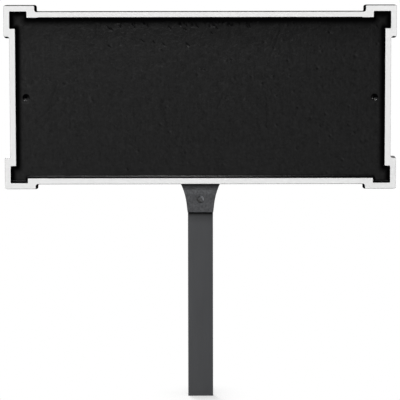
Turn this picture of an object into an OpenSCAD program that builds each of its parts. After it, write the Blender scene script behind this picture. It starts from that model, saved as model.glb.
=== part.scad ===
// Blank address plaque on a ground stake.
// A sand-cast plaque with a raised border and stepped corners is screwed to a flared cast bracket,
// and the bracket is bolted to a flat bar that is pushed into the ground.
// Millimetres. The front faces -Y, +Z is up, and the origin is the centre of the bar's foot.

/* [Plaque] */
// Width across the corner blocks, measured on the front face
plaque_w = 392; // [300:1:500]
// Height across the corner blocks, measured on the front face
plaque_h = 183; // [140:1:260]
// Thickness from the border's face to the back
plaque_t = 12; // [10:0.5:16]
// How far each corner block stands out past the straight edges
step = 5.5; // [4:0.1:8]
// Length of a corner block along both of its edges
block = 30.8; // [26:0.2:40]
// How far the two long edges sit below their place midway between the corner blocks
edge_drop = 0.7; // [0:0.1:1.5]
// Slope of the cast side walls, in degrees
side_draft = 6; // [2:0.5:8]
// Radius of the outline's outward corners
corner_r = 1; // [0.6:0.1:1.6]
// Radius of the outline's inward corners
notch_r = 2.2; // [1.6:0.1:2.8]

/* [Border] */
// Width of the raised border's face
border_w = 5.6; // [4:0.1:7]
// Height of the border's face above the field
border_h = 3.9; // [3:0.1:5]
// Length of the field's corner along both of its edges
field_block = 17.4; // [13:0.2:22]
// Slope of the border's inner wall, in degrees
inner_draft = 20; // [10:1:26]
// Radius where the border's inner wall runs into the field
foot_r = 1.8; // [1:0.1:2.4]
// Radius of the field's corners at the border's face
field_r = 0.5; // [0.3:0.1:1.2]
// Rounding of the border's two upper edges
edge_r = 0.4; // [0.2:0.1:0.6]

/* [Back of the plaque] */
// Thickness of the plate behind the field
plate_t = 5.2; // [4.8:0.1:6]
// Width of the rim round the hollow back
rim_w = 7; // [5:0.5:10]
// Radius of the hollow's corners
hollow_r = 2.5; // [1:0.1:2.7]
// Slope of the hollow's walls, in degrees
hollow_draft = 8; // [3:1:15]
// Margin of the seat round the bracket's flange
seat_margin = 4; // [2:0.5:8]

/* [Drill points] */
// Distance between the two drill points
point_spacing = 349.4; // [260:0.2:354]
// Diameter of the dimple at the field, measured without its rounded lip
sink_d = 6.6; // [5.6:0.2:9]
// Slope of the dimple's cone, in degrees
sink_slope = 31; // [24:1:45]
// Rounding of the dimple's lip
lip_r = 1.6; // [0.4:0.1:2]
// Diameter of the pilot hole
pilot_d = 2.2; // [1.8:0.1:3.4]
// Depth of the pilot hole below the dimple
pilot_depth = 2; // [1:0.1:2.5]
// Diameter of the boss behind each drill point
boss_d = 18; // [14:1:20]

/* [Bracket] */
// Thickness of the bracket's plate
bracket_t = 4; // [3:0.1:5.5]
// Width of the bracket's lower end
neck_w = 26; // [25.8:0.1:30]
// Length of the straight taper above the lower end
taper_h = 9; // [5:0.5:12]
// Slope of that taper, in degrees
taper_a = 6.8; // [2:0.2:9]
// Radius of the hollow flare above the taper
flare_r = 65; // [60:1:72]
// Height of the bracket that shows below the plaque
bracket_show = 30; // [24:0.5:36]
// Width of the flange behind the plaque
flange_w = 60; // [58:1:64]
// Height of the flange above the flare
flange_h = 24; // [20:0.5:30]
// Radius of the flange's upper corners
flange_r = 6; // [3:0.5:8]
// Rounding of the bracket's front edges
bracket_edge = 0.7; // [0.3:0.1:1]
// Width of the ribs that hold the bar
rib_w = 3.6; // [3:0.2:4]
// Height of the ribs behind the plate
rib_h = 5.5; // [3:0.5:6]
// Play between the bar and each rib
rib_play = 0.2; // [0.1:0.05:0.4]

/* [Bar] */
// Width of the flat bar
bar_w = 25.4; // [24:0.1:25.6]
// Thickness of the flat bar
bar_t = 6.35; // [4:0.05:8]
// Length of the flat bar
bar_length = 248; // [200:0.5:400]
// How far the bracket's flange reaches above the bar
bar_cover = 9.5; // [5:0.5:14]
// Rounding of the bar's long edges
bar_edge = 0.8; // [0.3:0.1:1.5]

/* [Bolt through the bracket and the bar] */
// Diameter of the bolt's shank
bolt_d = 4; // [3:0.5:4.5]
// Diameter of the bolt's domed head
bolt_head_d = 7.6; // [6.5:0.1:9.5]
// Height of the bolt's domed head
bolt_head_h = 2.2; // [1.8:0.1:2.8]
// Width across the flats of the bolt's socket
bolt_socket = 2.5; // [2:0.5:3]
// Depth of the bolt's socket
bolt_socket_depth = 1.3; // [1:0.1:1.6]
// Height of the bolt above the bracket's lower end
bolt_rise = 13.2; // [8:0.2:18]
// Play between the bolt and its holes, on the diameter
bolt_play = 0.4; // [0.2:0.1:0.8]
// Diameter of the washer
washer_d = 9; // [8:0.5:12]
// Thickness of the washer
washer_t = 0.8; // [0.5:0.1:1.2]
// Width across the flats of the nut
nut_af = 7; // [6.5:0.5:8]
// Thickness of the nut
nut_t = 3.2; // [2.4:0.1:4]
// How far the bolt's end stands past the nut
bolt_tail = 1.6; // [0.5:0.1:3]

/* [Screws through the flange] */
// Distance between the two flange screws
screw_spacing = 46; // [45:0.5:47]
// Diameter of a flange screw's shank
screw_d = 5; // [4:0.5:5]
// Diameter of a flange screw's head
screw_head_d = 9.5; // [8:0.5:10]
// Height of a flange screw's head
screw_head_h = 3.4; // [2.8:0.1:4]
// How far a flange screw goes into the plaque
screw_bite = 4; // [3:0.1:4.5]
// Room left in the threaded hole past the end of the screw
tap_spare = 1.2; // [0.5:0.1:1.6]
// Play of a flange screw in the bracket, on the diameter
screw_play = 0.5; // [0.2:0.1:1]
// Width of the screw's cross recess
cross_w = 5; // [4:0.5:6]
// Breadth of one arm of the cross recess
cross_arm = 1.2; // [0.8:0.1:1.5]
// Depth of the cross recess
cross_depth = 1.8; // [1:0.1:2.2]

/* [Hidden] */
round_fn = 48;
arc_steps = 3;
flare_steps = 9;
thread_play = 0.06;
least_r = 0.2;
cut_over = 1;

// Depths along Y, from the bar's middle plane to the front.
bar_front = -bar_t / 2;
bar_back = bar_t / 2;
plaque_back = bar_front - bracket_t;
plaque_front = plaque_back - plaque_t;
field_front = plaque_front + border_h;
hollow_depth = plaque_t - border_h - plate_t;

// Heights along Z, from the bar's foot to the plaque's middle.
flare_end = acos(cos(taper_a) - (flange_w / 2 - neck_w / 2 - taper_h * tan(taper_a)) / flare_r);
neck_h = taper_h + flare_r * (sin(flare_end) - sin(taper_a));
bracket_top = bar_length + bar_cover;
bracket_z = bracket_top - flange_h - neck_h;
screw_z = bracket_top - flange_h / 2;
bolt_z = bracket_z + bolt_rise;
plaque_z = bracket_z + bracket_show + plaque_h / 2 - step + edge_drop;

side_slant = tan(side_draft);
inner_slant = tan(inner_draft);
hollow_slant = tan(hollow_draft);
sink_depth = tan(sink_slope) * (sink_d - pilot_d) / 2;

// The unit vector from one point to the next.
function heading(a, b) = (b - a) / norm(b - a);

// Corner p between heading u and heading v, at a right angle, rounded to radius r.
function round_corner(p, u, v, r) =
    [for (k = [0:arc_steps])
        let (a = 90 * k / arc_steps)
        p + r * (v - u) + r * (u * sin(a) - v * cos(a))];

// A closed outline whose corner i is rounded to radius radii[i].
function round_outline(corners, radii) =
    let (n = len(corners))
    [for (i = [0:n - 1])
        let (u = heading(corners[(i + n - 1) % n], corners[i]),
             v = heading(corners[i], corners[(i + 1) % n]))
        each round_corner(corners[i], u, v, radii[i])];

// The outline of a panel whose four corners stand out as square blocks, anticlockwise,
// with its outward corners rounded to r_out and its inward corners to r_in.
function stepped_outline(w, h, corner, r_out, r_in) =
    let (x1 = w / 2, x0 = x1 - step, xb = x1 - corner,
         y1 = h / 2, yb = y1 - corner,
         top = y1 - step - edge_drop, bottom = -y1 + step - edge_drop,
         corners = [[x0, yb], [x1, yb], [x1, y1], [xb, y1], [xb, top],
                    [-xb, top], [-xb, y1], [-x1, y1], [-x1, yb], [-x0, yb],
                    [-x0, -yb], [-x1, -yb], [-x1, -y1], [-xb, -y1], [-xb, bottom],
                    [xb, bottom], [xb, -y1], [x1, -y1], [x1, -yb], [x0, -yb]])
    round_outline(corners, [for (i = [0:19]) i % 5 == 0 || i % 5 == 4 ? r_in : r_out]);

// The plaque's outer outline, grown by d.
function outer_outline(d) =
    stepped_outline(plaque_w + 2 * d, plaque_h + 2 * d, block + 2 * d,
        corner_r + d, max(notch_r - d, least_r));

// The border's inner outline, drawn in by d.
function inner_outline(d) =
    let (in = 2 * (border_w + d))
    stepped_outline(plaque_w - in, plaque_h - in, field_block - 2 * d,
        max(field_r + edge_r - d, least_r), field_r + d);

// The hollow's outline, drawn in by d.
function hollow_outline(d) =
    let (in = 2 * (rim_w + d), r = min(hollow_r, step / 2 - least_r))
    stepped_outline(plaque_w - in, plaque_h - in, block - in, r, r);

// Stands a flat outline upright at depth y, with its origin at height z.
function upright(outline, y, z) = [for (p = outline) [p[0], y, p[1] + z]];

// The rings of the plaque's skin, from the field's edge over the border to just past the back.
function plaque_rings() =
    let (wall_foot = border_h - foot_r,
         wall_inset = function (depth) edge_r / 2 + (depth - edge_r) * inner_slant,
         round_inset = foot_r * (1 - inner_slant / 2))
    concat(
        [for (k = [0:arc_steps])
            let (a = 90 * k / arc_steps)
            upright(inner_outline(wall_inset(wall_foot) + round_inset * (1 - sin(a))),
                field_front - foot_r * (1 - cos(a)), plaque_z)],
        [upright(inner_outline(edge_r / 2), plaque_front + edge_r, plaque_z),
         upright(inner_outline(0), plaque_front, plaque_z),
         upright(outer_outline(-edge_r / 2), plaque_front, plaque_z),
         upright(outer_outline(edge_r * side_slant), plaque_front + edge_r, plaque_z),
         upright(outer_outline((plaque_t + cut_over) * side_slant), plaque_back + cut_over, plaque_z)]);

// The bracket's outline drawn in by d, from the middle of its lower end and anticlockwise.
function bracket_side(d) =
    let (shift = [-d, 0], r = flange_r, w = flange_w / 2, h = neck_h + flange_h)
    concat(
        [[neck_w / 2, d] + shift],
        [for (k = [0:flare_steps])
            let (a = taper_a + (flare_end - taper_a) * k / flare_steps)
            [neck_w / 2 + taper_h * tan(taper_a) + flare_r * (cos(taper_a) - cos(a)),
             taper_h + flare_r * (sin(a) - sin(taper_a))] + shift],
        round_corner([w - d, h - d], [0, 1], [-1, 0], r - d));
function mirrored(outline) = [for (i = [len(outline) - 1:-1:0]) [-outline[i][0], outline[i][1]]];
function bracket_outline(d) = concat(bracket_side(d), mirrored(bracket_side(d)));

// The cap over a stepped outline: a fan in each corner block round the block's hub, and one panel
// between the blocks. The four hubs are numbered on from the outline's own points.
stepped_cap = let (run = 5 * (arc_steps + 1)) concat(
    [for (g = [0:3]) for (i = [0:run - 2]) [4 * run + g, g * run + i, g * run + i + 1]],
    [[for (g = [0:3]) each [g * run, 4 * run + g, (g + 1) * run - 1]]]);

// A point inside each corner block of a stepped ring.
function hubs(ring) =
    let (run = 5 * (arc_steps + 1))
    [for (g = [0:3]) (ring[g * run + arc_steps] + ring[(g + 1) * run - 1 - arc_steps]) / 2];

// The cap over the bracket's outline: one strip from each pair of mirrored points to the next.
bracket_cap = let (n = len(bracket_outline(0)))
    [for (i = [0:n / 2 - 2]) [i, i + 1, n - 2 - i, n - 1 - i]];

// A closed skin over rings that have the same number of points. Each end is closed by the faces in
// cap, which are numbered along the end's own ring and then on to its half of the inner points.
module skin(rings, cap, inner = []) {
    n = len(rings[0]);
    last = (len(rings) - 1) * n;
    over = len(rings) * n - n;
    half = len(inner) / 2;
    sides = [for (r = [0:len(rings) - 2]) for (i = [0:n - 1])
        let (a = r * n + i, b = r * n + (i + 1) % n)
        each [[a, b, b + n], [a, b + n, a + n]]];
    front = [for (face = cap) [for (i = [len(face) - 1:-1:0]) face[i] + (face[i] < n ? 0 : over)]];
    back = [for (face = cap) [for (k = face) k + (k < n ? last : over + half)]];
    polyhedron(points = concat([for (ring = rings) each ring], inner),
        faces = concat(sides, front, back), convexity = 6);
}
module stepped_skin(rings) {
    skin(rings, stepped_cap, concat(hubs(rings[0]), hubs(rings[len(rings) - 1])));
}

// Extrudes a shape, whose own Y becomes Z, from depth y0 back to depth y1.
module extrude_between(y0, y1) {
    translate([0, y1, 0]) rotate([90, 0, 0]) linear_extrude(height = y1 - y0) children();
}

// A round bar along Y from depth y0 back to depth y1, of diameter d0 there and d1 here.
module rod(x, z, y0, y1, d0, d1 = undef) {
    translate([x, y0, z]) rotate([-90, 0, 0])
        cylinder(h = y1 - y0, d1 = d0, d2 = is_undef(d1) ? d0 : d1, $fn = round_fn);
}

// All the space behind depth y that the plaque could reach.
module behind(y) {
    translate([-plaque_w, y, 0]) cube([2 * plaque_w, plaque_t, 2 * plaque_z]);
}

// The hollow in the plaque's back, less the seat of the bracket and the bosses.
module back_hollow() {
    seat_w = flange_w + 2 * seat_margin;
    seat_top = bracket_top + seat_margin;
    deep = hollow_depth + cut_over;
    past = 2 * cut_over;
    difference() {
        intersection() {
            stepped_skin([upright(hollow_outline(deep * hollow_slant), plaque_back - deep, plaque_z),
                          upright(hollow_outline(-past * hollow_slant), plaque_back + past, plaque_z)]);
            behind(plaque_back - hollow_depth);
        }
        extrude_between(plaque_front, plaque_back + past + cut_over)
            translate([-seat_w / 2, 0]) square([seat_w, seat_top]);
        for (side = [-1, 1])
            rod(side * point_spacing / 2, plaque_z, plaque_back - deep,
                plaque_back + past + cut_over, boss_d);
    }
}

// One drill point in the field: its half section, from the open end over the rounded lip and the
// cone to the pilot hole's floor, turned round its own axis.
module drill_point(side) {
    sink_r = sink_d / 2;
    pilot_r = pilot_d / 2;
    floor_depth = sink_depth + pilot_depth;
    lip = [for (k = [0:arc_steps])
        let (a = sink_slope * k / arc_steps)
        [sink_r + lip_r * (tan(sink_slope / 2) - sin(a)), lip_r * (1 - cos(a))]];
    translate([side * point_spacing / 2, field_front, plaque_z]) rotate([-90, 0, 0])
        rotate_extrude($fn = round_fn)
            polygon(concat([[0, -cut_over], [lip[0][0], -cut_over]], lip,
                [[pilot_r, sink_depth], [pilot_r, floor_depth], [0, floor_depth]]));
}

// The casting: border, field, drill points, hollow back, and threaded holes for the bracket.
module plaque() {
    color("#1f1f21") difference() {
        stepped_skin(plaque_rings());
        behind(plaque_back);
        back_hollow();
        for (side = [-1, 1]) {
            drill_point(side);
            rod(side * screw_spacing / 2, screw_z, plaque_back - screw_bite - tap_spare,
                plaque_back + cut_over, screw_d + thread_play);
        }
    }
}

// The flared plate with two ribs behind it that keep the bar from turning.
module stake_bracket() {
    rib_x = bar_w / 2 + rib_play;
    rib_top = bracket_top - flange_r;
    color("#4b4c4e") difference() {
        union() {
            skin([upright(bracket_outline(bracket_edge), plaque_back, bracket_z),
                  upright(bracket_outline(bracket_edge * 0.3), plaque_back + bracket_edge * 0.3, bracket_z),
                  upright(bracket_outline(0), plaque_back + bracket_edge, bracket_z),
                  upright(bracket_outline(0), bar_front, bracket_z)], bracket_cap);
            for (side = [-1, 1])
                extrude_between(bar_front - bracket_t / 2, bar_front + rib_h)
                    polygon([[side * rib_x, bracket_z + taper_h * 2],
                             [side * (rib_x + rib_w), bracket_z + neck_h],
                             [side * (rib_x + rib_w), rib_top],
                             [side * rib_x, rib_top]]);
        }
        rod(0, bolt_z, plaque_back - cut_over, bar_front + cut_over, bolt_d + bolt_play);
        for (side = [-1, 1])
            rod(side * screw_spacing / 2, screw_z, plaque_back - cut_over, bar_front + cut_over,
                screw_d + screw_play);
    }
}

// The flat bar, cut square at both ends, with its long edges eased.
module ground_bar() {
    w = bar_w / 2;
    t = bar_t / 2;
    color("#47484a") difference() {
        linear_extrude(height = bar_length)
            polygon(round_outline([[w, -t], [w, t], [-w, t], [-w, -t]],
                [for (i = [0:3]) bar_edge]));
        rod(0, bolt_z, bar_front - cut_over, bar_back + cut_over, bolt_d + bolt_play);
    }
}

// A domed bolt with a hexagon socket, from the bracket's front to past the nut.
module bar_bolt() {
    dome_r = (pow(bolt_head_d / 2, 2) + pow(bolt_head_h, 2)) / (2 * bolt_head_h);
    head_front = plaque_back - bolt_head_h;
    bolt_end = bar_back + washer_t + nut_t + bolt_tail;
    color("#3c3d3f") difference() {
        union() {
            intersection() {
                translate([0, head_front + dome_r, bolt_z]) sphere(r = dome_r, $fn = round_fn);
                rod(0, bolt_z, head_front - cut_over, plaque_back, bolt_head_d + cut_over);
            }
            rod(0, bolt_z, plaque_back - bolt_head_h / 2, bolt_end - bolt_d / 8, bolt_d);
            rod(0, bolt_z, bolt_end - bolt_d / 8, bolt_end, bolt_d, bolt_d * 0.75);
        }
        translate([0, head_front - cut_over, bolt_z]) rotate([-90, 0, 0])
            cylinder(h = bolt_socket_depth + cut_over, d = bolt_socket / cos(30), $fn = 6);
    }
}

// The plain washer under the nut.
module bar_washer() {
    color("#8d8f92") difference() {
        rod(0, bolt_z, bar_back, bar_back + washer_t, washer_d);
        rod(0, bolt_z, bar_back - cut_over, bar_back + washer_t + cut_over, bolt_d + bolt_play);
    }
}

// The hexagon nut behind the washer, with its corners turned down on the outer side.
module bar_nut() {
    nut_front = bar_back + washer_t;
    across = nut_af / cos(30);
    color("#8d8f92") difference() {
        intersection() {
            translate([0, nut_front, bolt_z]) rotate([-90, 0, 0]) cylinder(h = nut_t, d = across, $fn = 6);
            union() {
                rod(0, bolt_z, nut_front, nut_front + nut_t * 0.8, across + thread_play);
                rod(0, bolt_z, nut_front + nut_t * 0.8, nut_front + nut_t, across, nut_af * 0.95);
            }
        }
        rod(0, bolt_z, nut_front - cut_over, nut_front + nut_t + cut_over, bolt_d + thread_play);
    }
}

// A pan-headed screw with a cross recess, through the flange into the plaque's back.
module bracket_screw(side) {
    x = side * screw_spacing / 2;
    crown = screw_head_h * 0.45;
    head_back = bar_front + screw_head_h;
    color("#77797c") difference() {
        union() {
            rod(x, screw_z, plaque_back - screw_bite, bar_front + crown, screw_d);
            rod(x, screw_z, bar_front, bar_front + crown, screw_head_d);
            rod(x, screw_z, bar_front + crown, head_back, screw_head_d, screw_head_d * 0.72);
        }
        for (turn = [0, 90])
            translate([x, head_back, screw_z]) rotate([0, turn, 0])
                cube([cross_w, 2 * cross_depth, cross_arm], center = true);
    }
}
module bracket_screw_left() { bracket_screw(-1); }
module bracket_screw_right() { bracket_screw(1); }

plaque();
stake_bracket();
ground_bar();
bar_bolt();
bar_washer();
bar_nut();
bracket_screw_left();
bracket_screw_right();
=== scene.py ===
"""Dresses a blank cast address plaque on its bracket and ground stake.

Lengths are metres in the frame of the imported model: the plaque faces -Y, +Z is up, and the foot of
the stake is the origin. Heights of a surface's relief are millimetres.
"""

import functools
import logging
import math
from dataclasses import dataclass, field
from enum import Enum

import bmesh
import bpy
import numpy as np
from mathutils import Matrix, Vector
from mathutils.geometry import delaunay_2d_cdt


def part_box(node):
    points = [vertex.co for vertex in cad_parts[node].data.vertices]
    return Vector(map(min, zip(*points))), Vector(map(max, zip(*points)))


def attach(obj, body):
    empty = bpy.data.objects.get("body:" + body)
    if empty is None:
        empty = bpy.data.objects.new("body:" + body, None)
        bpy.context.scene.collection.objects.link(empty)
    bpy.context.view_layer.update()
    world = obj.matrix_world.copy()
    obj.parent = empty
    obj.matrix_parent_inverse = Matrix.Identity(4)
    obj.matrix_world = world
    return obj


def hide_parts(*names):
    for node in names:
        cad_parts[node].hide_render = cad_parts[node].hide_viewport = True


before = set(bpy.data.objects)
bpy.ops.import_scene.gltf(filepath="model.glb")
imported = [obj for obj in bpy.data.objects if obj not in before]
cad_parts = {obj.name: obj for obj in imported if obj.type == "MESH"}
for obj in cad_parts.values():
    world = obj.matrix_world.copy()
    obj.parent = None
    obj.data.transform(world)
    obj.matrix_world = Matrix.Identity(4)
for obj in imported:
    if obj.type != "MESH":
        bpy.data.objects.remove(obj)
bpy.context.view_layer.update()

MM = 0.001
JOIN = MM / 1000
BODY = "root"
IMAGE_PX = 400
log = logging.getLogger("address_plaque")

Colour = tuple[float, float, float]
Pair = tuple[float, float]
Steps = tuple[tuple[float, Pair], ...]

# Names of values that the casting's mesh holds.
OUT_OF_SHADE = "out_of_shade"
CUT_SHADE = "cut_shade"
SPOT_SLOPE_LIGHT = "spot_slope_light"
DIMPLED = "dimpled"

MATT_ROUGHNESS = 0.9

# Parts of the normal between which a surface goes over to facing a way, and squares of its part
# along Y between which a side goes over to a front.
FACING: Pair = (0.3, 0.7)
FRONT_FACING: Pair = (0.2, 0.7)

# Points and spots are worked on in batches, to save memory.
POINT_BATCH = 4000
SPOT_BATCH = 30

# The grid's points keep this share of its pitch from the rim.
RIM_GAP = 0.55


class Slot(Enum):
    """The material slots of the record."""

    PLAQUE = "plaque_paint"
    BRACKET = "bracket_paint"
    BAR = "bar_paint"
    BLACK_STEEL = "black_steel"
    ZINC_STEEL = "zinc_steel"


class Value:
    """One output of a shader node. Arithmetic on it adds Math nodes."""

    def __init__(self, graph: "Graph", socket: bpy.types.NodeSocket) -> None:
        """Wraps an output socket of a graph."""
        self.graph = graph
        self.socket = socket

    def __add__(self, other: "Value | float") -> "Value":
        """The sum."""
        return self.graph.math("ADD", self, other)

    __radd__ = __add__

    def __mul__(self, other: "Value | float") -> "Value":
        """The product."""
        return self.graph.math("MULTIPLY", self, other)

    __rmul__ = __mul__

    def __sub__(self, other: "Value | float") -> "Value":
        """This value less the other."""
        return self.graph.math("SUBTRACT", self, other)

    def __rsub__(self, other: "Value | float") -> "Value":
        """The other less this value."""
        return self.graph.math("SUBTRACT", other, self)

    def __pow__(self, other: "Value | float") -> "Value":
        """This value to the power of the other."""
        return self.graph.math("POWER", self, other)


class Graph:
    """The node tree of one material or world."""

    def __init__(self, owner: "bpy.types.Material | bpy.types.World") -> None:
        """Empties the owner's node tree and takes it over.

        Args:
            owner: The material or world whose nodes are built.
        """
        owner.use_nodes = True
        self.owner = owner
        self.tree = owner.node_tree
        self.tree.nodes.clear()

    def add(self, kind: str, settings: dict | None = None,
            inputs: dict | None = None) -> bpy.types.Node:
        """Adds one node.

        Args:
            kind: The node's type.
            settings: Its own settings, set before its sockets.
            inputs: Its sockets, by name or number, each with a Value to link or a constant.

        Returns:
            The new node.
        """
        node = self.tree.nodes.new(kind)
        for name, setting in (settings or {}).items():
            setattr(node, name, setting)
        for key, given in (inputs or {}).items():
            if isinstance(given, Value):
                self.tree.links.new(given.socket, node.inputs[key])
            else:
                node.inputs[key].default_value = given
        return node

    def get(self, kind: str, settings: dict | None = None, inputs: dict | None = None,
            output: "str | int" = 0) -> Value:
        """Adds one node, as add does, and gives its output of that name or number."""
        return Value(self, self.add(kind, settings, inputs).outputs[output])

    def math(self, operation: str, a: "Value | float", b: "Value | float") -> Value:
        """Adds a Math node for one operation on two values."""
        return self.get("ShaderNodeMath", {"operation": operation}, {0: a, 1: b})

    def place(self) -> Value:
        """The point on the surface in millimetres, from the object's own coordinates."""
        metres = self.get("ShaderNodeTexCoord", output="Object")
        return self.get("ShaderNodeVectorMath", {"operation": "SCALE"},
                        {0: metres, "Scale": 1 / MM})

    def split(self, vector: Value) -> tuple[Value, Value, Value]:
        """The three parts of a vector."""
        node = self.add("ShaderNodeSeparateXYZ", inputs={0: vector})
        return tuple(Value(self, out) for out in node.outputs)

    def axes(self) -> tuple[Value, Value, Value]:
        """The three coordinates of the point on the surface, in millimetres."""
        return self.split(self.place())

    def facing(self) -> tuple[Value, Value, Value]:
        """The three parts of the surface's normal."""
        return self.split(self.get("ShaderNodeNewGeometry", output="Normal"))

    def attribute(self, name: str) -> Value:
        """The value that the mesh holds for its points under a name."""
        return self.get("ShaderNodeAttribute", {"attribute_name": name}, output="Fac")

    def noise(self, cell: "float | tuple[float, float, float]", detail: float = 2,
              roughness: float = 0.5, shift: float = 0) -> Value:
        """Smooth noise around 0.5.

        Args:
            cell: Size of its grain in millimetres, or one size for each axis.
            detail: Number of finer layers.
            roughness: Strength of each finer layer against the one before.
            shift: Moves the pattern.

        Returns:
            The noise, from 0 to 1.
        """
        sizes = cell if isinstance(cell, tuple) else (cell,) * 3
        scaled = self.get("ShaderNodeMapping", inputs={
            "Vector": self.place(), "Location": (shift,) * 3, "Scale": tuple(1 / s for s in sizes)})
        return self.get("ShaderNodeTexNoise", inputs={
            "Vector": scaled, "Scale": 1, "Detail": detail, "Roughness": roughness})

    def sided(self, cell: "float | tuple[float, float, float]", shift: float) -> Value:
        """Noise like a relief lit from one side: a pattern less the same one a little aside."""
        return self.noise(cell, detail=1, roughness=0.4, shift=shift) \
            - self.noise(cell, detail=1, roughness=0.4, shift=shift + 0.35)

    def ramp(self, value: Value, start: float, end: float) -> Value:
        """Rises smoothly from 0 at start to 1 at end.

        Args:
            value: What it follows.
            start: Value at which it is 0.
            end: Value at which it is 1. It falls where this is the lower.

        Returns:
            The rise, from 0 to 1.
        """
        low, high = min(start, end), max(start, end)
        rise = self.get("ShaderNodeMapRange", {"interpolation_type": "SMOOTHSTEP"},
                        {"Value": value, "From Min": low, "From Max": high})
        return rise if end > start else 1 - rise

    def stepped(self, value: Value, base: float, steps: Steps) -> Value:
        """Rises from a base in smooth steps.

        Args:
            value: What it follows.
            base: Where it starts.
            steps: Each step's height, and the band of the value in which it rises.

        Returns:
            The sum of the base and the steps.
        """
        total = base
        for height, band in steps:
            total = total + height * self.ramp(value, *band)
        return total

    def mix(self, factor: Value, a: "Value | Colour", b: "Value | Colour") -> Value:
        """The colour a where the factor is 0, and b where it is 1."""
        return self.get("ShaderNodeMix", {"data_type": "RGBA"},
                        {0: factor, 6: self.opaque(a), 7: self.opaque(b)}, output=2)

    def shade(self, colour: "Value | Colour", factor: Value) -> Value:
        """The colour times a factor."""
        grey = self.get("ShaderNodeCombineColor", inputs={0: factor, 1: factor, 2: factor})
        return self.get("ShaderNodeMix", {"data_type": "RGBA", "blend_type": "MULTIPLY"},
                        {0: 1, 6: self.opaque(colour), 7: grey}, output=2)

    @staticmethod
    def opaque(colour: "Value | Colour") -> "Value | tuple[float, ...]":
        """The colour as a socket takes it: a value as it is, or three numbers with a full alpha."""
        return colour if isinstance(colour, Value) else (*colour, 1)

    def largest(self, *values: Value) -> Value:
        """The largest of some values."""
        return functools.reduce(lambda a, b: self.math("MAXIMUM", a, b), values)

    def bump(self, height: Value) -> Value:
        """The surface normal with a relief of the given height in millimetres."""
        return self.get("ShaderNodeBump", inputs={"Height": height, "Distance": MM},
                        output="Normal")

    def paint(self, colour: "Value | Colour", roughness: "Value | float", normal: Value,
              metallic: float = 0, specular: float = 0.5, coat: "Value | float" = 0,
              coat_roughness: float = 0.2) -> Value:
        """Adds a Principled shader.

        Args:
            colour: Base colour.
            roughness: Roughness.
            normal: The normal with its relief.
            metallic: 1 for bare metal.
            specular: Strength of the reflection.
            coat: Strength of a clear coat.
            coat_roughness: Roughness of that coat.

        Returns:
            The shader.
        """
        return self.get("ShaderNodeBsdfPrincipled", inputs={
            "Base Color": self.opaque(colour), "Roughness": roughness, "Normal": normal,
            "Metallic": metallic, "Specular IOR Level": specular,
            "Coat Weight": coat, "Coat Roughness": coat_roughness})

    def blend(self, share: Value, a: Value, b: Value) -> Value:
        """The shader a where the share is 0, and b where it is 1."""
        return self.get("ShaderNodeMixShader", inputs={0: share, 1: a, 2: b})

    def matt(self, colour: "Value | Colour", normal: Value) -> Value:
        """Adds the shader of paint that mirrors nothing."""
        return self.paint(colour, MATT_ROUGHNESS, normal, specular=0)

    def finish(self, shader: Value, over: "Value | None" = None,
               share: "Value | None" = None) -> bpy.types.Material:
        """Ends the tree in one shader or a mix of two.

        Args:
            shader: The first shader.
            over: The second.
            share: The second's share.

        Returns:
            The tree's material.
        """
        if over is not None:
            shader = self.blend(share, shader, over)
        self.add("ShaderNodeOutputMaterial", inputs={"Surface": shader})
        return self.owner


def new_graph(name: str) -> Graph:
    """Starts a new material of the given name."""
    return Graph(bpy.data.materials.new(name))


def new_object(name: str, data: bpy.types.ID) -> bpy.types.Object:
    """Puts a mesh, lamp or camera into the scene.

    Args:
        name: The object's name.
        data: What it shows.

    Returns:
        The object.
    """
    made = bpy.data.objects.new(name, data)
    bpy.context.scene.collection.objects.link(made)
    return made


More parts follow.
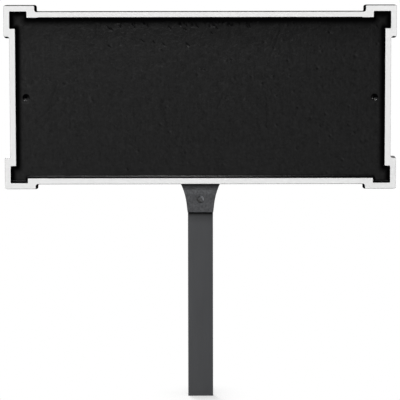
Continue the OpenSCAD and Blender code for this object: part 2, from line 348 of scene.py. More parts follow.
@dataclass(frozen=True)
class CastPaint:
    """Satin black paint on a sand casting, with the border's face painted white by hand.

    The white lies within white_depth of the front face, and foot_depth on the lower side, up to an
    edge that wanders. Along half_straight to each side the black laps over the top border's inner
    edge, which is inner_below under the plaque's top.

    The paint is matt on the steep walls and in the corners, and satin on the open field, the back
    and the outer sides. A deeper black is painted shade on the walls, beside the border, in the
    cuts and in the drill points' dimples. It is glossy on what faces up in the lower half and in
    the dimples of the drill points, and dull on the outer side that faces up. A painted shade
    darkens the field towards the top, and painted light and shade bring out its relief.
    The front, top and middle are places in metres, and the other lengths are millimetres.
    """

    front: float
    top: float
    middle: float
    middle_band: Pair = (5, -5)
    painted_top_shade: float = 0.5
    top_band: Pair = (-50, -16)
    painted_shade_black: Colour = (0.0012, 0.0012, 0.0013)
    black: Colour = (0.0094, 0.0094, 0.0095)
    darkest: float = 0.15
    mottling: float = 0.55
    white: Colour = (0.8, 0.8, 0.798)
    white_depth: float = 0.06
    foot_depth: float = 0.3
    foot_band: Pair = (-0.05, -0.2)
    edge_blur: float = 0.02
    wander: float = 0.12
    wander_cell: float = 6
    half_straight: float = 161
    inner_below: float = 13.23
    lap: float = 0.55
    specular: float = 0.1
    gloss: float = 0.12
    gloss_roughness: float = 0.22
    rising_band: Pair = (0.05, 0.2)
    outer_sheen: float = 0.25
    black_roughness: float = 0.29
    white_roughness: float = 0.5
    grain: float = 0.14
    fine_grain: float = 0.05
    brushing: float = 0.04
    patch_cell: float = 18
    painted_relief_light: float = 0.85
    painted_nub_light: float = 6.5

    def material(self) -> bpy.types.Material:
        """Builds the paint: the white border, the mottled black and the relief under both.

        Returns:
            The material.
        """
        graph = new_graph("cast_paint")
        across, _, up = graph.axes()
        right, back, rise = graph.facing()
        lower = graph.ramp(up, *(self.middle / MM + offset for offset in self.middle_band))
        straight = graph.ramp(across ** 2, (self.half_straight + 1) ** 2, self.half_straight ** 2)
        outward = right * graph.math("SIGN", across, 0)
        out_of_shade = graph.largest(graph.attribute(OUT_OF_SHADE) * (1 - graph.attribute(CUT_SHADE)),
                                   graph.ramp(back, *FACING), graph.ramp(outward, *FACING))
        mottle = graph.noise(7, detail=4, roughness=0.6)
        tone = self.black_tone(graph, mottle, up)
        painted = self.white_share(graph, lower, straight)
        # Painted shade: a deeper black beside the border, in cuts, on walls and in dimples.
        black = graph.mix(out_of_shade, self.painted_shade_black, graph.shade(self.black, tone))
        white = graph.shade(self.white, 0.975 + 0.05 * graph.noise(5, detail=3, shift=9))
        dimpled = graph.attribute(DIMPLED)
        normal = graph.bump(self.skin_height(graph) * (1 - 0.85 * painted) * (1 - 0.6 * dimpled))
        roughness = (1 - painted) * (self.black_roughness + 0.12 * (mottle - 0.5)) \
            + self.white_roughness * painted
        rising = graph.ramp(rise, *self.rising_band)
        gloss = graph.largest(self.gloss * lower * (1 - out_of_shade), dimpled) \
            * rising * (1 - painted)
        satin = graph.paint(graph.mix(painted, black, white), roughness, normal,
                            specular=self.specular, coat=gloss, coat_roughness=self.gloss_roughness)
        upward = rising * (lower + self.outer_sheen * straight * (1 - lower))
        return graph.finish(graph.matt(black, normal), satin,
                            graph.largest(painted, out_of_shade, upward))

    def white_share(self, graph: Graph, lower: Value, straight: Value) -> Value:
        """Tells where the white paint lies.

        It lies within a depth of the front face, less the lap of the black over the top border.

        Args:
            graph: The material's tree.
            lower: 1 in the plaque's lower half.
            straight: 1 within the length of the straight borders.

        Returns:
            1 on the white and 0 on the black.
        """
        _, depth, up = graph.axes()
        _, _, rise = graph.facing()
        foot = graph.ramp(rise, *self.foot_band) * lower
        reach = self.front / MM + self.white_depth + (self.foot_depth - self.white_depth) * foot
        past = depth - reach + self.wander * (graph.noise(self.wander_cell) - 0.5)
        inner = self.top / MM - self.inner_below + self.lap
        lapped = graph.ramp(up, inner + self.edge_blur, inner - self.edge_blur) \
            * straight * (1 - lower)
        return graph.ramp(past, self.edge_blur, -self.edge_blur) * (1 - lapped)

    def black_tone(self, graph: Graph, mottle: Value, up: Value) -> Value:
        """How bright the black is: mottled and streaked, with painted light and shade of a relief,
        and painted shade towards the top.

        The painted relief light and shade is patches of round grain between patches of upright
        strokes, and light and shade on the nubs' sides from their slopes.

        Args:
            graph: The material's tree.
            mottle: Noise that the roughness shares.
            up: The point's height in millimetres.

        Returns:
            A factor for the black.
        """
        streak = graph.noise((1.7, 6, 10), detail=3, roughness=0.6, shift=4)
        patch = graph.noise(self.patch_cell, detail=2, shift=5)
        # Painted light and shade of a relief lit from one side, and on the nubs' sides.
        relief = graph.sided(2.7, 11) * (0.25 + 1.3 * patch) \
            + graph.sided((2.2, 5, 10), 7) * (1 - 1.3 * patch)
        relief = self.painted_relief_light * relief + self.painted_nub_light * graph.attribute(SPOT_SLOPE_LIGHT)
        tone = 1 - self.mottling + self.mottling * mottle + self.mottling * streak + relief
        # Painted shade darkens the field towards the top.
        near_top = graph.ramp(up, *(self.top / MM + offset for offset in self.top_band))
        return graph.math("MAXIMUM", tone, self.darkest) * (1 - self.painted_top_shade * near_top)

    def skin_height(self, graph: Graph) -> Value:
        """Height of the casting's skin in millimetres: grain, fine grain and brush marks."""
        return self.grain * graph.noise(2.4, detail=2, roughness=0.4, shift=3) \
            + self.fine_grain * graph.noise(0.9, detail=2) \
            + self.brushing * graph.noise((1.8, 4, 8), detail=2, shift=2)


@dataclass(frozen=True)
class CharcoalCasting:
    """Satin charcoal paint over a fine, sandy cast skin. It is matt on the edges and sides.

    A painted shadow darkens it close below the plaque's bottom edge, and a painted lighter band
    lies just beneath that shadow. The bottom edge lies a little above the plaque's lowest corners.
    Their height is plaque_end, and the bands are millimetres below it.
    """

    plaque_end: float
    darkest: float = 0.25
    painted_shadow_steps: Steps = ((0.55, (-3.4, -2.2)), (0.45, (0.2, 1.8)))
    painted_light_falloff: float = 0.24
    painted_light_band: Pair = (4, 6.5)
    tone: Colour = (0.059, 0.0605, 0.0645)
    roughness: float = 0.45
    specular: float = 0.22
    sand: float = 0.5

    def material(self) -> bpy.types.Material:
        """Builds the paint: blotches of tone over sand grains, and painted shadow under the plaque.

        Returns:
            The material.
        """
        graph = new_graph("charcoal_casting")
        _, front, _ = graph.facing()
        _, _, up = graph.axes()
        below = self.plaque_end / MM - up
        # Painted shadow below the plaque's edge, then a painted lighter band that dims lower down.
        shade = graph.stepped(below, self.darkest, self.painted_shadow_steps) \
            * (1 - self.painted_light_falloff * graph.ramp(below, *self.painted_light_band))
        blotch = graph.noise(3.2, detail=4, roughness=0.65)
        sand = graph.noise(1.6, detail=2, roughness=0.7, shift=5)
        mottle = graph.math("MAXIMUM", 1.1 * blotch + 1.8 * sand - 0.45, 0.3)
        tone = graph.shade(self.tone, mottle * shade)
        normal = graph.bump(self.sand * sand)
        roughness = self.roughness + 0.2 * (blotch - 0.5)
        satin = graph.paint(tone, roughness, normal, specular=self.specular)
        return graph.finish(graph.matt(tone, normal), satin,
                            graph.ramp(front ** 2, *FRONT_FACING))


@dataclass(frozen=True)
class CharcoalBar:
    """Smooth satin charcoal paint on rolled flat bar, with faint lines along its length.

    It is matt on the eased edges, and matt for a short way below the bracket's lower end, where a
    painted shadow darkens it. The height of that end is bracket_end, and the bands are millimetres
    below it.
    """

    bracket_end: float
    darkest: float = 0.02
    painted_shadow_steps: Steps = ((0.68, (0.9, 5.2)), (0.3, (2, 14)))
    matt_band: Pair = (0.5, 3)
    peel_height: float = 0.012
    tone: Colour = (0.0535, 0.055, 0.058)
    roughness: float = 0.46
    specular: float = 0.2

    def material(self) -> bpy.types.Material:
        """Builds the paint: long faint lines, slow changes of tone and a little orange peel, with a
        painted shadow below the bracket.

        Returns:
            The material.
        """
        graph = new_graph("charcoal_bar")
        _, front, _ = graph.facing()
        _, _, up = graph.axes()
        below = self.bracket_end / MM - up
        # Painted shadow for a short way below the bracket's lower end.
        shade = graph.stepped(below, self.darkest, self.painted_shadow_steps)
        slow = graph.noise((14, 14, 60), detail=2)
        lines = graph.noise((0.7, 0.7, 45), detail=2, shift=3)
        peel = graph.noise(1.1, detail=2, shift=7)
        tone = graph.shade(self.tone, (0.83 + 0.22 * slow + 0.12 * lines) * shade)
        normal = graph.bump(self.peel_height * (peel + lines))
        roughness = self.roughness + 0.12 * (slow - 0.5)
        satin = graph.paint(tone, roughness, normal, specular=self.specular)
        open_front = graph.ramp(front ** 2, *FRONT_FACING) * graph.ramp(below, *self.matt_band)
        return graph.finish(graph.matt(tone, normal), satin, open_front)


@dataclass(frozen=True)
class PaintedSteel:
    """Charcoal paint on a steel fastener, with a painted highlight at its upper right and painted
    shade at its lower left.
    """

    tone: Colour = (0.045, 0.0465, 0.0495)
    roughness: float = 0.4
    specular: float = 0.6
    highlight_gain: float = 4
    highlight_band: Pair = (0.3, 0.6)
    shade_depth: float = 0.92
    shade_band: Pair = (-0.1, -0.4)

    def material(self) -> bpy.types.Material:
        """Builds the paint: uneven tone, a painted highlight, painted shade and small runs of paint.

        Returns:
            The material.
        """
        graph = new_graph("painted_steel")
        right, _, up = graph.facing()
        film = graph.noise(1.5, detail=3)
        # Painted highlight at the upper right and painted shade at the lower left, by the normal.
        lit_side = graph.ramp(0.8 * right + 0.6 * up + 0.3 * (film - 0.5), *self.highlight_band)
        shade_side = graph.ramp(0.6 * right + 0.8 * up, *self.shade_band)
        side_lighting = (0.8 + 0.4 * film + self.highlight_gain * lit_side) * (1 - self.shade_depth * shade_side)
        tone = graph.shade(self.tone, side_lighting)
        return graph.finish(graph.paint(tone, self.roughness + 0.2 * (film - 0.5),
                                        graph.bump(0.04 * film), specular=self.specular))


@dataclass(frozen=True)
class ZincSteel:
    """Bright zinc plating, cloudy, with fine turning marks."""

    tone: Colour = (0.56, 0.58, 0.6)
    roughness: float = 0.33

    def material(self) -> bpy.types.Material:
        """Builds the plating: clouds of tone and roughness over fine marks.

        Returns:
            The material.
        """
        graph = new_graph("zinc_plate")
        cloud = graph.noise(2.6, detail=4)
        marks = graph.noise(0.35, detail=2, shift=6)
        tone = graph.shade(self.tone, 0.75 + 0.5 * cloud)
        return graph.finish(graph.paint(tone, self.roughness + 0.25 * (cloud - 0.5),
                                        graph.bump(0.01 * marks), metallic=1))


def lattice_noise(x: np.ndarray, z: np.ndarray, cell: Pair, rng: np.random.Generator) -> np.ndarray:
    """Value noise from -1 to 1 over a plane.

    Each crossing of a lattice has a random value. Between crossings the four nearest values are
    blended by smooth steps of the place within the cell, one step along x and one along z.

    Args:
        x: Places along X in millimetres.
        z: Places along Z in millimetres.
        cell: The lattice's cell, along X and Z.
        rng: Source of the random values.

    Returns:
        One value for each place.
    """
    u, v = (x - x.min()) / cell[0], (z - z.min()) / cell[1]
    table = rng.uniform(-1, 1, (int(u.max()) + 2, int(v.max()) + 2))
    i, j = u.astype(int), v.astype(int)
    s, t = u - i, v - j
    s, t = s * s * (3 - 2 * s), t * t * (3 - 2 * t)
    low = table[i, j] * (1 - s) + table[i + 1, j] * s
    high = table[i, j + 1] * (1 - s) + table[i + 1, j + 1] * s
    return low * (1 - t) + high * t


def smooth_step(value: np.ndarray) -> np.ndarray:
    """Rises smoothly from 0 to 1 as the value does."""
    held = np.clip(value, 0, 1)
    return held * held * (3 - 2 * held)


def distance_to_edges(points: np.ndarray, starts: np.ndarray, ends: np.ndarray) -> np.ndarray:
    """Distance of each point to the nearest of some straight edges.

    The nearest place on an edge is its start plus the edge times the point's share along it,
    which is held between 0 and 1.

    Args:
        points: Flat points, one to a row.
        starts: The edges' first ends.
        ends: The edges' second ends.

    Returns:
        One distance for each point.
    """
    along = ends - starts
    length2 = (along ** 2).sum(-1)
    nearest = []
    for batch in np.array_split(points, len(points) // POINT_BATCH + 1):
        offset = batch[:, None] - starts
        share = np.clip((offset * along).sum(-1) / length2, 0, 1)
        nearest.append(np.linalg.norm(offset - share[..., None] * along, axis=-1).min(axis=1))
    return np.concatenate(nearest)


def inside_edges(points: np.ndarray, starts: np.ndarray, ends: np.ndarray) -> np.ndarray:
    """Tells which points lie inside a region, by the even-odd rule.

    A point is inside if a ray from it along +X crosses the region's edges an odd number of times.

    Args:
        points: Flat points, one to a row.
        starts: The first ends of the region's edges.
        ends: Their second ends.

    Returns:
        True for each point inside.
    """
    rise = np.where(ends[:, 1] == starts[:, 1], 1, ends[:, 1] - starts[:, 1])
    inside = []
    for batch in np.array_split(points, len(points) // POINT_BATCH + 1):
        px, pz = batch[:, None, 0], batch[:, None, 1]
        spans = (starts[:, 1] > pz) != (ends[:, 1] > pz)
        crossing = starts[:, 0] + (pz - starts[:, 1]) / rise * (ends[:, 0] - starts[:, 0])
        inside.append((spans & (px < crossing)).sum(axis=1) % 2 == 1)
    return np.concatenate(inside)


@dataclass(frozen=True)
class Scores:
    """A group of short cuts in a casting's skin, in millimetres.

    The region's low and high corners are shares of the face's width and height. The lean is the
    cuts' mean turn to the left from upright, in radians, and spread is how far they differ from it.
    Its painted shade darkens the bottom of each cut; at 1 it leaves no light there.
    """

    count: int
    depth: float
    length: Pair
    low: Pair = (0, 0)
    high: Pair = (1, 1)
    lean: float = 0
    spread: float = 0.35
    width: float = 0.8
    shade_in_cut: float = 0.25

    def weight(self, places: np.ndarray, rng: np.random.Generator) -> np.ndarray:
        """How deep in a cut each place lies, as a bell curve of its distance to the nearest one.

        Args:
            places: Flat places, one to a row.
            rng: Source of the cuts.

        Returns:
            One value from 0 to 1 for each place.
        """
        base, size = places.min(axis=0), np.ptp(places, axis=0)
        starts = base + size * rng.uniform(self.low, self.high, (self.count, 2))
        turns = math.pi / 2 + self.lean + self.spread * rng.normal(size=self.count)
        lengths = rng.uniform(*self.length, self.count)
        ends = starts + lengths[:, None] * np.column_stack([np.cos(turns), np.sin(turns)])
        return np.exp(-(distance_to_edges(places, starts, ends) / self.width) ** 2)


@dataclass(frozen=True)
class CastRelief:
    """The uneven skin that a sand mould leaves: slow waves, lumps, strokes, nubs, pits and cuts.

    Heights are in millimetres and stand towards the front.
    """

    seed: int
    wave: float = 0.12
    wave_cell: float = 34
    lump: float = 0.05
    lump_cell: float = 6.5
    grain: float = 0.045
    grain_cell: Pair = (2.5, 2.7)
    stroke: float = 0.02
    stroke_cell: Pair = (2.6, 9)
    stroke_lean: float = 0.12
    spots: int = 240
    spot_height: float = 0.26
    spot_radius: Pair = (0.9, 1.6)
    scores: tuple[Scores, ...] = ()

    def shape(self, x: np.ndarray, z: np.ndarray) -> tuple[np.ndarray, np.ndarray, np.ndarray]:
        """Height of the relief at some places, the painted shade in its cuts, and the spots' slopes.

        The height is the sum of slow waves, lumps, grain and leaning strokes of value noise, and of
        round spots whose height falls off as a bell curve of the distance, less the depth of the
        cuts. A spot's slope is how fast its curve rises along the diagonal from the lower left.

        Args:
            x: Places along X in millimetres.
            z: Places along Z in millimetres.

        Returns:
            One height, one value from 0 to 1, and one slope for each place.
        """
        rng = np.random.default_rng(self.seed)
        height = self.wave * lattice_noise(x, z, (self.wave_cell,) * 2, rng)
        height += self.lump * lattice_noise(x, z, (self.lump_cell,) * 2, rng)
        height += self.grain * lattice_noise(x, z, self.grain_cell, rng)
        height += self.stroke * lattice_noise(x - self.stroke_lean * z, z, self.stroke_cell, rng)
        places = np.column_stack([x, z])
        centres = rng.uniform(places.min(axis=0), places.max(axis=0), (self.spots, 2))
        radii = rng.uniform(*self.spot_radius, self.spots)
        heights = self.spot_height * rng.uniform(-1, 1, self.spots)
        slope = np.zeros(len(x))
        for batch in np.array_split(np.arange(self.spots), self.spots // SPOT_BATCH + 1):
            off = (places[:, None] - centres[batch]) / radii[batch, None]
            bell = heights[batch] * np.exp(-(off ** 2).sum(axis=-1))
            height += bell.sum(axis=1)
            slope -= (math.sqrt(2) * off.sum(axis=-1) * bell / radii[batch]).sum(axis=1)
        # Painted shade in the bottom of the cuts.
        cut_shade = np.zeros(len(x))
        for group in self.scores:
            weight = group.weight(places, rng)
            height -= group.depth * weight
            cut_shade = np.maximum(cut_shade, group.shade_in_cut * weight)
        return height, cut_shade, slope


@dataclass
class Skin:
    """A closed skin of triangles, as whole arrays: points, faces and named values of points."""

    points: np.ndarray
    faces: np.ndarray
    values: dict[str, np.ndarray] = field(default_factory=dict)

    @classmethod
    def of_node(cls, node: str) -> "Skin":
        """Copies a CAD node's mesh, with its loose triangles joined.

        Args:
            node: The CAD node.

        Returns:
            The copy.
        """
        bm = bmesh.new()
        bm.from_mesh(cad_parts[node].data)
        bmesh.ops.remove_doubles(bm, verts=bm.verts, dist=JOIN)
        mesh = bpy.data.meshes.new("joined")
        bm.to_mesh(mesh)
        bm.free()
        points = np.empty(3 * len(mesh.vertices))
        mesh.vertices.foreach_get("co", points)
        faces = np.empty(len(mesh.loops), dtype=np.int32)
        mesh.loops.foreach_get("vertex_index", faces)
        bpy.data.meshes.remove(mesh)
        return cls(points.reshape(-1, 3), faces.reshape(-1, 3).astype(np.int64))

    def faces_at(self, depth: float) -> np.ndarray:
        """Tells which faces lie flat at a depth along Y."""
        return (np.abs(self.points[self.faces, 1] - depth) < JOIN).all(axis=1)

    def rim_of(self, chosen: np.ndarray) -> np.ndarray:
        """The edges that only one of some faces has.

        Args:
            chosen: True for each of those faces.

        Returns:
            Pairs of point numbers, in their face's direction.
        """
        edges = self.faces[chosen][:, [0, 1, 1, 2, 2, 0]].reshape(-1, 2)
        _, first, uses = np.unique(np.sort(edges, axis=1), axis=0,
                                   return_index=True, return_counts=True)
        return edges[first[uses == 1]]

    def cut_rim(self, rim: np.ndarray, rest: np.ndarray,
                pitch: float) -> tuple[np.ndarray, np.ndarray]:
        """Cuts a rim into short edges, and the faces beyond it to match.

        An edge gets as many equal parts as the pitch fits into it. The face beyond it becomes a fan
        of triangles from its far corner. The new points are added to the skin's.

        Args:
            rim: The edges, as pairs of point numbers.
            rest: The faces beyond the rim and all others that stay.
            pitch: Length of a short edge.

        Returns:
            The short edges, and the faces that stay with the cut ones among them.
        """
        starts, ends = self.points[rim[:, 0]], self.points[rim[:, 1]]
        parts = np.maximum(np.rint(np.linalg.norm(ends - starts, axis=1) / pitch), 1).astype(int)
        owner = np.repeat(np.arange(len(rim)), parts)
        step = np.arange(len(owner)) - np.repeat(np.cumsum(parts) - parts, parts)
        added = step > 0
        number = np.where(added, len(self.points) + np.cumsum(added) - 1, rim[owner, 0])
        after = np.where(step == parts[owner] - 1, rim[owner, 1], np.roll(number, -1))
        places = starts[owner] + (step / parts[owner])[:, None] * (ends - starts)[owner]
        self.points = np.vstack([self.points, places[added]])
        size = len(self.points)
        codes = (rest * size + np.roll(rest, -1, axis=1)).ravel()
        order = np.argsort(codes)
        spot = order[np.searchsorted(codes, rim[:, 1] * size + rim[:, 0], sorter=order)]
        face, side = spot // 3, spot % 3
        far = rest[face, (side + 2) % 3]
        fans = np.column_stack([after, number, far[owner]])
        return np.column_stack([number, after]), np.vstack([np.delete(rest, face, axis=0), fans])

    def regrid(self, depth: float, pitch: float) -> tuple[np.ndarray, np.ndarray]:
        """Rebuilds the flat front face at one depth as a fine grid.

        The face's triangles are taken out, its rim is cut into short edges, and a square grid of
        points inside the rim is joined to it by a constrained Delaunay triangulation. Triangles
        whose middle lies outside the rim, as over a hole, are left out.

        Args:
            depth: Place of the face along Y.
            pitch: Spacing of the grid.

        Returns:
            The numbers of the grid's points, and the rim's short edges.
        """
        flat = self.faces_at(depth)
        edges, rest = self.cut_rim(self.rim_of(flat), self.faces[~flat], pitch)
        used = np.unique(edges)
        rim = self.points[used][:, [0, 2]]
        links = np.searchsorted(used, edges)
        starts, ends = rim[links[:, 0]], rim[links[:, 1]]
        spans = [np.arange(low + pitch / 2, high, pitch)
                 for low, high in zip(rim.min(axis=0), rim.max(axis=0))]
        grid = np.stack(np.meshgrid(*spans), axis=-1).reshape(-1, 2)
        grid = grid[inside_edges(grid, starts, ends)]
        grid = grid[distance_to_edges(grid, starts, ends) > RIM_GAP * pitch]
        flat_points = np.vstack([rim, grid])
        made = delaunay_2d_cdt(flat_points.tolist(), links.tolist(), [], 1, JOIN / 10)
        faces = np.array(made[2])
        faces = faces[inside_edges(flat_points[faces].mean(axis=1), starts, ends)]
        new = len(self.points) + np.arange(len(grid))
        self.points = np.vstack([self.points, np.insert(grid, 1, depth, axis=1)])
        self.faces = np.vstack([rest, np.concatenate([used, new])[faces]])
        return new, edges

    def far_from(self, chosen: np.ndarray, edges: np.ndarray) -> np.ndarray:
        """Distance of the chosen points to the nearest of some edges, seen from the front."""
        flat = self.points[:, [0, 2]]
        return distance_to_edges(flat[chosen], flat[edges[:, 0]], flat[edges[:, 1]])

    def set_values(self, name: str, chosen: np.ndarray, values: np.ndarray) -> None:
        """Keeps values of the chosen points under a name, with 0 for the other points."""
        self.values[name] = np.zeros(len(self.points))
        self.values[name][chosen] = values

    def raise_relief(self, chosen: np.ndarray, edges: np.ndarray, relief: CastRelief,
                     fade: float) -> None:
        """Moves the chosen points to the front by a relief.

        It grows smoothly from nothing at the rim to its full height at the distance fade.

        Args:
            chosen: The points' numbers.
            edges: The rim's edges.
            relief: The relief.
            fade: Width of the band in which it grows.
        """
        grow = smooth_step(self.far_from(chosen, edges) / fade)
        height, cut_shade, slope = relief.shape(*(self.points[chosen][:, [0, 2]].T / MM))
        self.points[chosen, 1] -= height * grow * MM
        # How much painted shade lies in the cuts.
        self.set_values(CUT_SHADE, chosen, cut_shade * grow)
        # The spots' slopes paint light and shade on the nubs' sides.
        self.set_values(SPOT_SLOPE_LIGHT, chosen, slope * grow)

    def piece(self, name: str, node: str, slot: Slot, material: bpy.types.Material,
              smooth_to: float = 20) -> bpy.types.Object:
        """Makes a finished piece of the skin, in place of its CAD node.

        Args:
            name: The piece's name.
            node: The CAD node that it stands for.
            slot: The record's material slot. Not used.
            material: Its finish.
            smooth_to: Edges that turn by more degrees stay sharp.

        Returns:
            The new object.
        """
        mesh = bpy.data.meshes.new(name)
        mesh.from_pydata(self.points.tolist(), [], self.faces.tolist())
        for key, values in self.values.items():
            mesh.attributes.new(key, "FLOAT", "POINT").data.foreach_set("value", values)
        mesh.materials.append(material)
        mesh.shade_smooth()
        mesh.set_sharp_from_angle(angle=math.radians(smooth_to))
        made = new_object(name, mesh)
        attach(made, BODY)
        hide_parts(node)
        log.info("%s: %d faces, stands for %s", name, len(mesh.polygons), node)
        return made


@dataclass
class Plaque:
    """The sand-cast plaque, with the relief of its mould on the field.

    A painted shade is darkest beside the border, and fades out over open_top below the top edge,
    over open_side beside the sides, and over open_foot above the bottom edge. The edges round a
    drill point, which lie within point_reach of its middle, paint no shade there. An upright edge
    belongs to a stepped corner if it lies nearer to the middle than step_share of the outermost.
    """

    node: str = "plaque"
    field_below: float = 3.9 * MM
    pitch: float = 1.1 * MM
    fade: float = 2.5 * MM
    open_top: float = 7.5 * MM
    open_side: float = 5.0 * MM
    open_foot: float = 1.2 * MM
    point_spacing: float = 349.4 * MM
    point_reach: float = 6 * MM
    step_share: float = 0.95
    smooth_to: float = 32
    relief: CastRelief = field(default_factory=lambda: CastRelief(seed=7, scores=(
        Scores(12, 0.1, (8, 30), lean=-0.2, spread=0.2),
        Scores(40, 0.12, (2, 7), spread=0.6, shade_in_cut=0.1),
        Scores(13, 0.2, (2, 4.5), low=(0.24, 0.8), high=(0.56, 0.95), lean=0.65, spread=0.25,
               width=0.65, shade_in_cut=0.9),
        Scores(54, 0.2, (1, 3), low=(0.26, 0.925), high=(0.64, 0.98), lean=0.2, spread=0.3,
               width=0.65, shade_in_cut=1))))

    def build(self) -> bpy.types.Object:
        """Builds the casting: the CAD skin with the field as a fine relief.

        Returns:
            The finished piece.
        """
        low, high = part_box(self.node)
        skin = Skin.of_node(self.node)
        grid, edges = skin.regrid(low[1] + self.field_below, self.pitch)
        skin.raise_relief(grid, edges, self.relief, self.fade)
        whole = np.concatenate([grid, np.unique(edges)])
        # Where the field lies out of the painted shade beside the border.
        skin.set_values(OUT_OF_SHADE, whole, self.openness(skin, whole, edges))
        skin.set_values(DIMPLED, np.arange(len(skin.points)), self.near_drill_point(skin.points))
        finish = CastPaint(front=low[1], top=high[2], middle=(low[2] + high[2]) / 2)
        return skin.piece("plaque_casting", self.node, Slot.PLAQUE, finish.material(),
                          self.smooth_to)

    def near_drill_point(self, places: np.ndarray) -> np.ndarray:
        """Tells which places lie round either drill point, seen from the front.

        Args:
            places: Places in space, one to a row.

        Returns:
            True for each place near a drill point.
        """
        low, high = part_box(self.node)
        beside = np.abs(places[:, 0]) - self.point_spacing / 2
        return np.hypot(beside, places[:, 2] - (low[2] + high[2]) / 2) < self.point_reach

    def openness(self, skin: Skin, chosen: np.ndarray, edges: np.ndarray) -> np.ndarray:
        """How far the field's points lie out of the painted shade, from 0 beside the border to 1.

        It is the smallest of three smooth rises: of the distance to the border's edges above the
        point, to those at the plaque's sides, and to those below it or beside a stepped corner.

        Args:
            skin: The casting's skin.
            chosen: The numbers of the field's points.
            edges: The short edges round the field and the drill points.

        Returns:
            One value for each point.
        """
        border = ~self.near_drill_point(skin.points[edges].mean(axis=1))
        run = skin.points[edges[:, 1]] - skin.points[edges[:, 0]]
        foot, top = run[:, 0] > np.abs(run[:, 2]), -run[:, 0] > np.abs(run[:, 2])
        side = np.abs(skin.points[edges].mean(axis=1)[:, 0])
        step = ~foot & ~top & (side < self.step_share * side.max())
        groups = ((top, self.open_top), (foot | step, self.open_foot),
                  (~foot & ~top & ~step, self.open_side))
        return np.min([smooth_step(skin.far_from(chosen, edges[border & group]) / reach)
                       for group, reach in groups], axis=0)


@dataclass
class StakeBracket:
    """The flared cast bracket between the plaque and the bar."""

    node: str = "stake_bracket"
    plaque: str = "plaque"
    pitch: float = 1.0 * MM
    fade: float = 1.2 * MM
    relief: CastRelief = field(default_factory=lambda: CastRelief(
        seed=11, wave=0.05, wave_cell=12, lump=0.06, lump_cell=2.6, stroke=0.0, spots=14,
        spot_height=0.14, scores=(Scores(3, 0.04, (3, 12)),)))

    def build(self) -> bpy.types.Object:
        """Builds the casting: the CAD skin with its front face as a fine relief.

        Returns:
            The finished piece.
        """
        low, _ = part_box(self.node)
        plaque_low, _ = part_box(self.plaque)
        skin = Skin.of_node(self.node)
        skin.raise_relief(*skin.regrid(low[1], self.pitch), self.relief, self.fade)
        finish = CharcoalCasting(plaque_end=plaque_low[2])
        return skin.piece("bracket_casting", self.node, Slot.BRACKET, finish.material())


@dataclass
class GroundBar:
    """The flat bar that is pushed into the ground."""

    node: str = "ground_bar"
    bracket: str = "stake_bracket"
    smooth_to: float = 32

    def build(self) -> bpy.types.Object:
        """Builds the bar from the CAD skin, with its eased edges shaded round.

        Returns:
            The finished piece.
        """
        low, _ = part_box(self.bracket)
        finish = CharcoalBar(bracket_end=low[2])
        return Skin.of_node(self.node).piece("stake_bar", self.node, Slot.BAR, finish.material(),
                                             self.smooth_to)


@dataclass
class Fasteners:
    """The bolt with its washer and nut, and the two flange screws."""

    painted: dict[str, str] = field(default_factory=lambda: {"bar_bolt": "neck_bolt"})
    plated: dict[str, str] = field(default_factory=lambda: {
        "bar_washer": "neck_washer", "bar_nut": "neck_nut",
        "bracket_screw_left": "flange_screw_left", "bracket_screw_right": "flange_screw_right"})
    smooth_to: float = 25

    def build(self) -> list[bpy.types.Object]:
        """Builds every fastener from its CAD skin.

        Returns:
            The finished pieces.
        """
        paint, zinc = PaintedSteel().material(), ZincSteel().material()
        groups = ((self.painted, Slot.BLACK_STEEL, paint), (self.plated, Slot.ZINC_STEEL, zinc))
        return [Skin.of_node(node).piece(name, node, slot, material, self.smooth_to)
                for names, slot, material in groups for node, name in names.items()]


@dataclass(frozen=True)
class Lamp:
    """A square soft lamp that points at the plaque: its place and size in metres, and its watts."""

    name: str
    place: tuple[float, float, float]
    size: float
    power: float


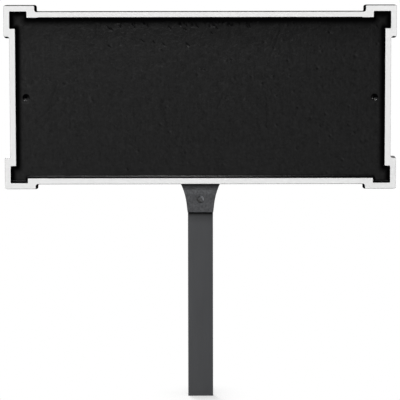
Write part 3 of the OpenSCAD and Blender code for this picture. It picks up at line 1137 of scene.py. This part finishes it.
@dataclass
class Studio:
    """The floor, the lamps, the white surroundings and the camera.

    The floor fades to white within shadow_reach, in millimetres from the stake. The bands are
    parts of a ray's direction. The camera's pitch is in degrees and its roll in radians.
    """

    floor_size: float = 8.0
    floor_tone: float = 0.86
    floor_glow: float = 0.3
    mirrored_floor: float = 0.7
    shadow_reach: Pair = (6, 55)
    behind_band: Pair = (-0.1, 0.2)
    left_band: Pair = (0.3, -0.3)
    fill_level: float = 0.31
    fill_slant: float = 0.8
    lamp_plan: tuple[Lamp, ...] = (
        Lamp("key", (-0.15, -2.5, 1.3), 0.35, 27.5),
        Lamp("low_fill", (-1.1, -2.0, 0.5), 0.9, 6.5),
        Lamp("top_light", (0.12, -0.55, 1.3), 0.2, 1.2),
        Lamp("side_light", (0.9, -0.35, 0.75), 0.2, 0.8),
        Lamp("back_light", (-0.8, 2.2, 1.3), 0.8, 30.0))
    camera_distance: float = 1.4
    camera_side: float = -0.35 * MM
    camera_pitch: float = 3.4
    camera_roll: float = -0.0015
    camera_shift: float = -0.12
    focal_px: float = 1397.0
    aim_height: float = 0.25105
    sensor: float = 36.0

    def build(self) -> None:
        """Builds all of the studio."""
        self.floor()
        self.world()
        self.lamps()
        self.camera()

    def floor(self) -> None:
        """Makes the pale floor, which shows white to the camera but for the object's shadow."""
        half = self.floor_size / 2
        mesh = bpy.data.meshes.new("floor")
        mesh.from_pydata([(-half, -half, 0), (half, -half, 0), (half, half, 0), (-half, half, 0)],
                         [], [(0, 1, 2, 3)])
        graph = new_graph("floor_white")
        path = graph.add("ShaderNodeLightPath")
        mirrored = Value(graph, path.outputs["Is Glossy Ray"])
        seen = Value(graph, path.outputs["Is Camera Ray"]) + self.mirrored_floor * mirrored
        x, y, _ = graph.axes()
        far = (x * x + y * y) ** 0.5
        matt = graph.get("ShaderNodeBsdfDiffuse", inputs={"Color": (*(self.floor_tone,) * 3, 1)})
        glow, white = (graph.get("ShaderNodeEmission", inputs={0: (1, 1, 1, 1), 1: strength})
                       for strength in (self.floor_glow, 1))
        lit = graph.get("ShaderNodeAddShader", inputs={0: matt, 1: glow})
        shown = graph.blend(graph.ramp(far, *self.shadow_reach), lit, white)
        mesh.materials.append(graph.finish(matt, shown, seen))
        new_object("floor", mesh)

    def world(self) -> None:
        """Makes the surroundings: white where they are seen, and a soft fill light.

        Mirrored rays see the white backdrop behind the object, and the dimmer room in front of it,
        which is lighter on the left.
        """
        scene = bpy.context.scene
        scene.world = bpy.data.worlds.new("studio")
        graph = Graph(scene.world)
        path = graph.add("ShaderNodeLightPath")
        camera, glossy, through = (Value(graph, path.outputs[name]) for name in
                                   ("Is Camera Ray", "Is Glossy Ray", "Is Transmission Ray"))
        right, back, _ = graph.split(graph.get("ShaderNodeTexCoord", output="Generated"))
        behind = graph.ramp(back, *self.behind_band)
        shown = graph.math("MINIMUM", camera + through + glossy * behind, 1)
        slant = 2 * graph.ramp(right, *self.left_band) - 1
        level = self.fill_level * (1 + self.fill_slant * slant)
        fill, white = (graph.get("ShaderNodeBackground", inputs={0: (1, 1, 1, 1), 1: strength})
                       for strength in (level, 1))
        graph.add("ShaderNodeOutputWorld", inputs={"Surface": graph.blend(shown, fill, white)})
        scene.view_settings.view_transform = "Standard"

    def lamps(self) -> None:
        """Hangs the lamps, each turned towards the plaque's middle."""
        low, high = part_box("plaque")
        middle = (Vector(low) + Vector(high)) / 2
        for plan in self.lamp_plan:
            light = bpy.data.lights.new(plan.name, "AREA")
            light.energy = plan.power
            light.size = plan.size
            lamp = new_object(plan.name, light)
            lamp.location = plan.place
            lamp.rotation_euler = (middle - lamp.location).to_track_quat("-Z", "Y").to_euler()

    def camera(self) -> None:
        """Places the camera at the distance, height, tilt and roll that the photograph shows."""
        low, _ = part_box("plaque")
        pitch = math.radians(self.camera_pitch)
        back = Vector((0, -math.cos(pitch), math.sin(pitch)))
        lens = bpy.data.cameras.new("camera")
        lens.sensor_width = self.sensor
        lens.lens = self.focal_px / IMAGE_PX * self.sensor
        lens.shift_y = self.camera_shift
        camera = new_object("camera", lens)
        aim = Vector((self.camera_side, low[1], self.aim_height))
        camera.location = aim + self.camera_distance * back
        tilt = Matrix.Rotation(math.pi / 2 - pitch, 3, "X")
        camera.rotation_euler = (tilt @ Matrix.Rotation(self.camera_roll, 3, "Z")).to_euler()
        bpy.context.scene.camera = camera


def main() -> None:
    """Builds every piece in order, then the studio."""
    logging.basicConfig(level=logging.INFO, format="%(name)s: %(message)s")
    for builder in (Plaque(), StakeBracket(), GroundBar(), Fasteners(), Studio()):
        builder.build()
        log.info("%s is ready", type(builder).__name__)


if __name__ == "__main__":
    main()
